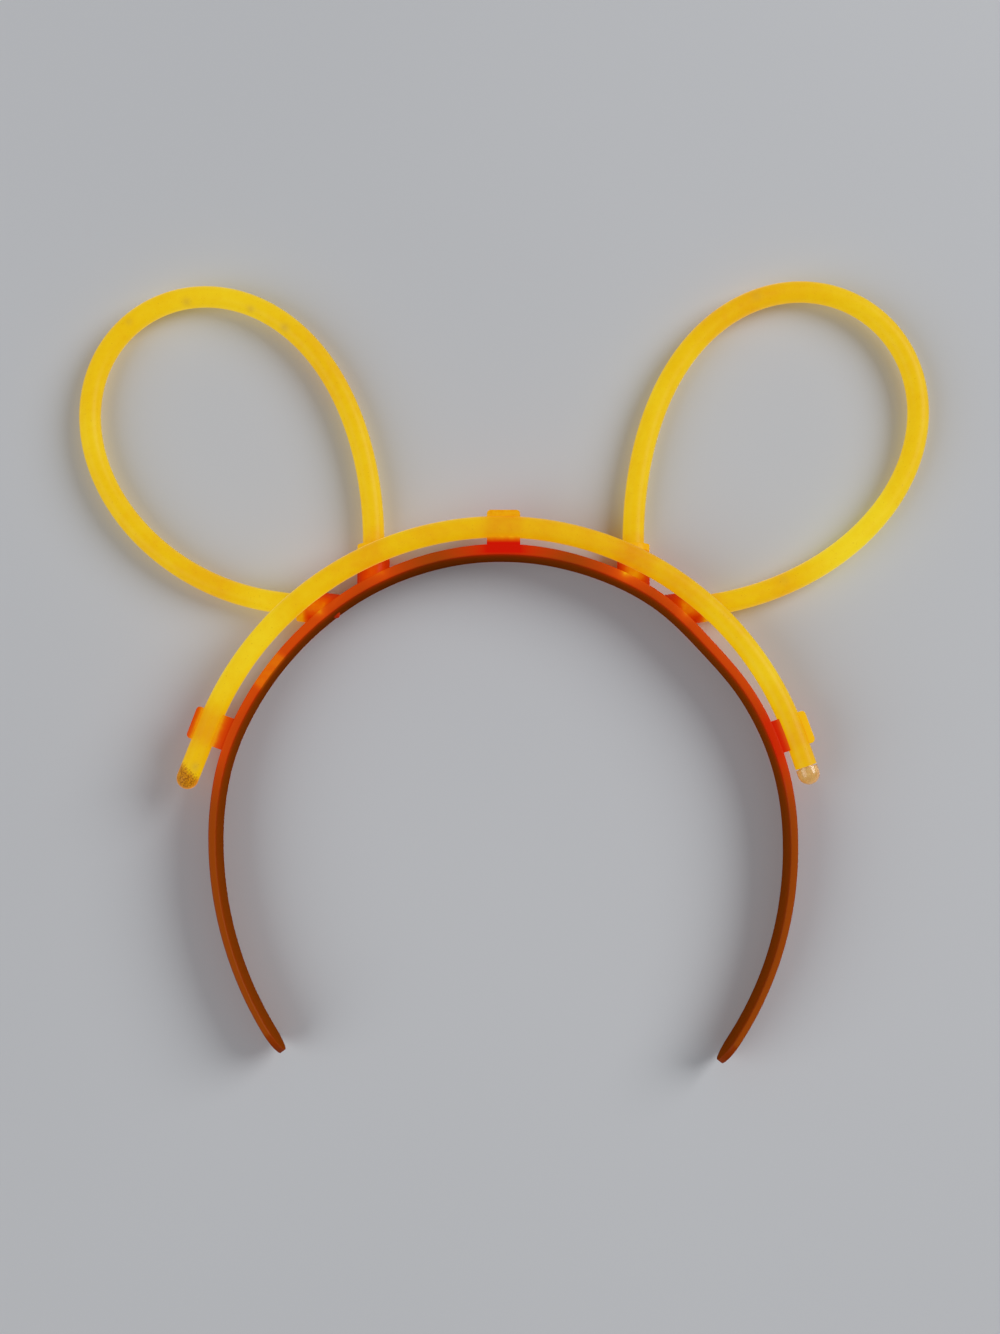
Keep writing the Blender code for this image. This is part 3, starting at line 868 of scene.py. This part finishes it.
def note_band_places(mesh):
    """Marks the points of the band's top, where a highlight is painted, and how deep the inner face's points
    lie below it, which sets the painted shade there.
    """
    rows = band_outline()
    points, outwards = (np.array([row[k] for row in rows]) for k in (0, 1))
    thicknesses, widths = np.array([band_sizes(row[2]) for row in rows]).T
    edge = mesh.attributes.new("edge", "FLOAT", "POINT")
    depth = mesh.attributes.new("depth", "FLOAT", "POINT")
    for i, vertex in enumerate(mesh.vertices):
        place = np.array(vertex.co[:2]) - MIDDLE
        row = int(np.hypot(*(points - place).T).argmin())
        inwards = float((points[row] - place) @ outwards[row])
        below = float(widths[row] - vertex.co.z)
        over_wall = 0.0 < inwards < thicknesses[row]
        edge.data[i].value = float(over_wall and below < EDGE_ROUND * EDGE_SHARE)
        depth.data[i].value = min(max(below / widths[row], 0.0), 1.0)


def place_on_arc(degrees):
    """The distance along the upper half circle from the crown to an angle; minus is left."""
    return BAND_RADIUS * math.radians(90.0 - degrees)


def wall_thickness(degrees):
    """The band's thickness at an angle on its upper half circle."""
    arc = abs(place_on_arc(degrees))
    name = "right" if degrees < 90.0 else "left"
    whole = BAND_RADIUS * math.pi / 2 + LEG_RADIUS * math.radians(LEG_SWEEP[name])
    return band_sizes(arc / whole)[0]


def clip_solid(degrees):
    """A block that stands on the band and reaches round the arch stick, with rounded outer corners."""
    inside = BAND_RADIUS - flex(place_on_arc(degrees)) - wall_thickness(degrees) / 2
    outside = arch_reach(degrees) + STICK_RADIUS + CLEARANCE + CLIP_WALL
    below = ARCH_HEIGHT - STICK_RADIUS - CLEARANCE - CLIP_WALL
    above = ARCH_HEIGHT + CLIP_LIP_RISE
    size = Vector((outside - inside, CLIP_LENGTH, above - below))
    centre = Vector(((outside + inside) / 2, 0.0, (above + below) / 2))
    build = bmesh.new()
    bmesh.ops.create_cube(build, size=1.0)
    bmesh.ops.scale(build, vec=size, verts=build.verts)
    bmesh.ops.translate(build, vec=centre, verts=build.verts)
    far = [e for e in build.edges if all(abs(v.co.x - outside) < 1e-6 for v in e.verts)]
    upright = [e for e in far if abs(e.verts[0].co.z - e.verts[1].co.z) > size.z / 2]
    bmesh.ops.bevel(
        build, geom=upright, offset=CLIP_CORNER, segments=CLIP_CORNER_STEPS, affect="EDGES", profile=0.5,
    )
    bmesh.ops.rotate(build, matrix=Matrix.Rotation(math.radians(degrees), 3, "Z"), verts=build.verts)
    bmesh.ops.translate(build, vec=(*MIDDLE, 0.0), verts=build.verts)
    return build


def cylinder(start, end, radius, height, rim_round=0.0, flare=0.0):
    """A round bar between two plan points, with a rounded far rim or a flared mouth."""
    path = Path([start, end], height)
    profile = [(0.0, 0.0), (0.0, radius)]
    if rim_round:
        for step in range(RIM_STEPS + 1):
            angle = math.pi / 2 * step / RIM_STEPS
            away = rim_round * (1 - math.sin(angle))
            profile.append((path.length - away, radius - rim_round * (1 - math.cos(angle))))
    elif flare:
        profile += [(path.length - SOCKET_WALL - flare, radius), (path.length, radius + SOCKET_WALL + flare)]
    else:
        profile.append((path.length, radius))
    profile.append((path.length, 0.0))
    return round_along(path, profile, ROUND_SIDES)


def inside_wall_middle():
    """The room inside the middle of the band's wall, which trims the sockets' roots."""
    build = bmesh.new()
    upper = []
    for point, outward, share, _ in band_outline():
        thickness, _ = band_sizes(share)
        if point[1] >= 0.0:
            upper.append(point - outward * thickness / 2 + MIDDLE)
    below = build.faces.new([build.verts.new((x, y, -BAND_WIDTH)) for x, y in upper])
    pulled = bmesh.ops.extrude_face_region(build, geom=[below])
    raised = [v for v in pulled["geom"] if isinstance(v, bmesh.types.BMVert)]
    bmesh.ops.translate(build, vec=(0.0, 0.0, 3 * BAND_WIDTH), verts=raised)
    return build


def combine(target, guides, operation):
    """Adds guides to a target, or cuts them from it, all in one step."""
    group = bpy.data.collections.new(f"{target.name}_{operation.lower()}")
    bpy.context.scene.collection.children.link(group)
    for guide in guides:
        group.objects.link(guide)
    step = target.modifiers.new(group.name, "BOOLEAN")
    step.operation = operation
    step.solver = "EXACT"
    step.operand_type = "COLLECTION"
    step.collection = group


def soften(target, width):
    step = target.modifiers.new("soft_edges", "BEVEL")
    step.width = width
    step.segments = 2
    step.limit_method = "ANGLE"
    step.angle_limit = math.radians(35.0)


def settle(target, guides):
    """Applies the target's modifiers and removes the guides."""
    bpy.context.view_layer.update()
    body = target.evaluated_get(bpy.context.evaluated_depsgraph_get())
    mesh = bpy.data.meshes.new_from_object(body)
    target.modifiers.clear()
    target.data = mesh
    mesh.shade_smooth()
    mesh.set_sharp_from_angle(angle=math.radians(30.0))
    for guide in guides:
        bpy.data.objects.remove(guide, do_unlink=True)


def make_frame(finishes):
    """The one-piece moulding: band, clips and sockets."""
    moulding = add_object("orange_headband", band_solid(), finishes)
    channel_path = arch_path()
    sides = [(s, SOCKET_BORE_RADIUS) for s in stations(0.0, channel_path.length, CHANNEL_STATIONS)]
    channel_profile = [(0.0, 0.0), *sides, (channel_path.length, 0.0)]
    channel = add_object("clip_channel", round_along(channel_path, channel_profile, ROUND_SIDES), [])
    clips = [add_object("clip_" + name, clip_solid(degrees), []) for name, degrees in CLIP_ANGLES.items()]
    for clip in clips:
        combine(clip, [channel], "DIFFERENCE")
        soften(clip, CLIP_SOFTENING)
    trim = add_object("socket_trim", inside_wall_middle(), [])
    sockets = []
    bores = []
    for ear_name, ear in EARS.items():
        for socket_name, socket in SOCKETS.items():
            base, axis, rim = socket_line(socket)
            mirror = (ear["side"], 1.0)
            root = base - axis * SOCKET_ROOT
            bottom = rim - axis * BORE_DEPTH
            mouth = rim + axis * SOCKET_WALL
            label = f"{ear_name}_{socket_name}"
            ends = (root * mirror, rim * mirror)
            body = cylinder(*ends, SOCKET_RADIUS, EAR_HEIGHT, rim_round=SOCKET_RIM_ROUND)
            ends = (bottom * mirror, mouth * mirror)
            bore = cylinder(*ends, SOCKET_BORE_RADIUS, EAR_HEIGHT, flare=MOUTH_FLARE)
            sockets.append(add_object("socket_" + label, body, []))
            bores.append(add_object("bore_" + label, bore, []))
    for body in sockets:
        combine(body, [trim], "DIFFERENCE")
    outer = SOCKETS["outer"]
    base, axis, _ = socket_line(outer)
    slant = math.cos(math.radians(outer["band_angle"] - outer["axis_angle"]))
    angle = 180.0 - outer["band_angle"]
    depth = (flex(place_on_arc(angle)) + wall_thickness(angle) * HEEL_SHARE) / slant
    ends = (base * (-1.0, 1.0), (base - axis * depth) * (-1.0, 1.0))
    bar = cylinder(*ends, HEEL_RADIUS, EAR_HEIGHT, rim_round=HEEL_ROUND)
    heel = add_object("left_heel", bar, [])
    additions = [*clips, *sockets, heel]
    combine(moulding, additions, "UNION")
    combine(moulding, bores, "DIFFERENCE")
    settle(moulding, [channel, trim, *additions, *bores])
    note_band_places(moulding.data)
    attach(moulding, "root")
    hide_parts("headband_frame")


def make_floor():
    build = bmesh.new()
    bmesh.ops.create_grid(build, x_segments=1, y_segments=1, size=FLOOR_HALF)
    made, tree, shader = new_material("pale_floor")
    tone = ramp(tree, noise(tree, 3.0, 2.0), ((0.3, (0.62, 0.63, 0.65)), (0.7, (0.66, 0.67, 0.69))))
    links(tree, (tone, shader.inputs["Base Color"]))
    shader.inputs["Roughness"].default_value = 0.85
    shader.inputs["Specular IOR Level"].default_value = 0.2
    floor = add_object("floor", build, [made])


def area_light(name, place, width, power):
    """A round white light that faces the row frame's origin."""
    lamp = bpy.data.lights.new(name, "AREA")
    lamp.shape = "DISK"
    lamp.size = width
    lamp.energy = power
    made = bpy.data.objects.new(name, lamp)
    made.location = place
    made.rotation_euler = (-Vector(place)).to_track_quat("-Z", "Y").to_euler()
    bpy.context.scene.collection.objects.link(made)


def light_scene():
    for name, light in LIGHTS.items():
        area_light(name, **light)
    world = bpy.data.worlds.new("pale_room")
    world.use_nodes = True
    world.node_tree.nodes["Background"].inputs["Color"].default_value = (0.80, 0.82, 0.86, 1.0)
    world.node_tree.nodes["Background"].inputs["Strength"].default_value = 0.25
    bpy.context.scene.world = world


def make_camera():
    lens = bpy.data.cameras.new("photo_camera")
    lens.lens = CAMERA_LENS
    lens.sensor_width = CAMERA_SENSOR
    lens.clip_start = 0.01
    lens.clip_end = 20.0
    camera = bpy.data.objects.new("photo_camera", lens)
    camera.location = (MIDDLE[0] + CAMERA_FOOT[0], MIDDLE[1] + CAMERA_FOOT[1], CAMERA_HEIGHT)
    camera.rotation_euler = (math.radians(CAMERA_LEAN), 0.0, 0.0)
    bpy.context.scene.collection.objects.link(camera)
    bpy.context.scene.camera = camera


make_camera()
FINISHES = {"skin": stick_skin(), "inside": tube_inside(), "plug": clear_plastic(), "liquid": liquid()}
make_frame([orange_moulding(), dull_inside()])
arch = arch_path()
make_stick("arch_stick", "arch", arch, stick_notes("arch", arch), FINISHES)
for ear_name, ear in EARS.items():
    route = ear_path(ear)
    make_stick(f"{ear_name}_ear_stick", f"{ear_name}_ear", route, stick_notes(ear_name, route), FINISHES)
make_floor()
light_scene()
bpy.context.scene.view_settings.view_transform = "Standard"
